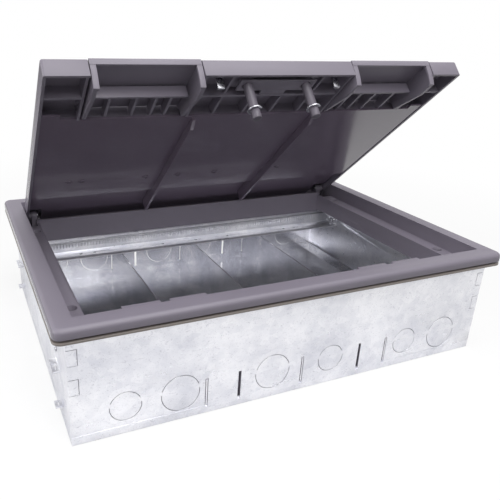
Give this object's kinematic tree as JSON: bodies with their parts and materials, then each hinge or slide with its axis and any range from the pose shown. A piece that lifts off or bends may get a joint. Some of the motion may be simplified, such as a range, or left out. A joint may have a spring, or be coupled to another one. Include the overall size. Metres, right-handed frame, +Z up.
{
  "type": "screed floor box",
  "caption": "Galvanised sheet floor box for a screed, with knock-outs, dividers and mounting rails, under a moulded frame whose hinged lid stands open and has two cable flaps and a lift handle.",
  "frame": {"origin": "centre of the underside of the base pan", "axes": "+X along the long side, -Y towards the front with the cable flaps, +Y towards the hinge, +Z up"},
  "size_m": [0.419, 0.311, 0.2707],
  "materials": {
    "zinc_sheet": "galvanised, lightly spangled",
    "plated_screw": "bright zinc plated",
    "brass": "plain",
    "coated_flange": "satin",
    "grey_plastic": "fine matte texture"
  },
  "bodies": {
    "box": {"base_pan": "zinc_sheet", "front_wall": "zinc_sheet", "back_wall": "zinc_sheet", "left_end_panel": "zinc_sheet", "right_end_panel": "zinc_sheet", "divider_left": "zinc_sheet", "divider_middle": "zinc_sheet", "divider_right": "zinc_sheet", "front_rail": "zinc_sheet", "rear_rail": "zinc_sheet", "frame_brackets": "zinc_sheet", "rail_screws": "plated_screw", "frame_screws": "plated_screw", "hinge_pins": "plated_screw", "earth_stud": "brass", "earth_nuts": "brass", "flange_ring": "coated_flange", "trim_frame": "grey_plastic"},
    "lid": {"lid_shell": "grey_plastic", "lid_underside_panel": "grey_plastic", "carpet_plate": "zinc_sheet", "handle_guide": "grey_plastic", "catch_springs": "plated_screw"},
    "left_flap": {"cable_flap_left": "grey_plastic"},
    "right_flap": {"cable_flap_right": "grey_plastic"},
    "handle": {"lift_handle": "grey_plastic", "handle_clips": "plated_screw"}
  },
  "joints": [
    {"name": "lid_hinge", "type": "hinge", "parent": "box", "child": "lid", "pos_m": [0, 0.118, 0.096], "axis": [-1, 0, 0], "range_deg": [-41, 49]},
    {"name": "left_flap_hinge", "type": "hinge", "parent": "lid", "child": "left_flap", "pos_m": [-0.1145, -0.02999, 0.23061], "axis": [-1, 0, 0], "range_deg": [0, 20]},
    {"name": "right_flap_hinge", "type": "hinge", "parent": "lid", "child": "right_flap", "pos_m": [0.1145, -0.02999, 0.23061], "axis": [-1, 0, 0], "range_deg": [0, 20]},
    {"name": "handle_slide", "type": "slide", "parent": "lid", "child": "handle", "axis": [0, 0.6561, 0.7547], "range_m": [0, 0.02]}
  ]
}
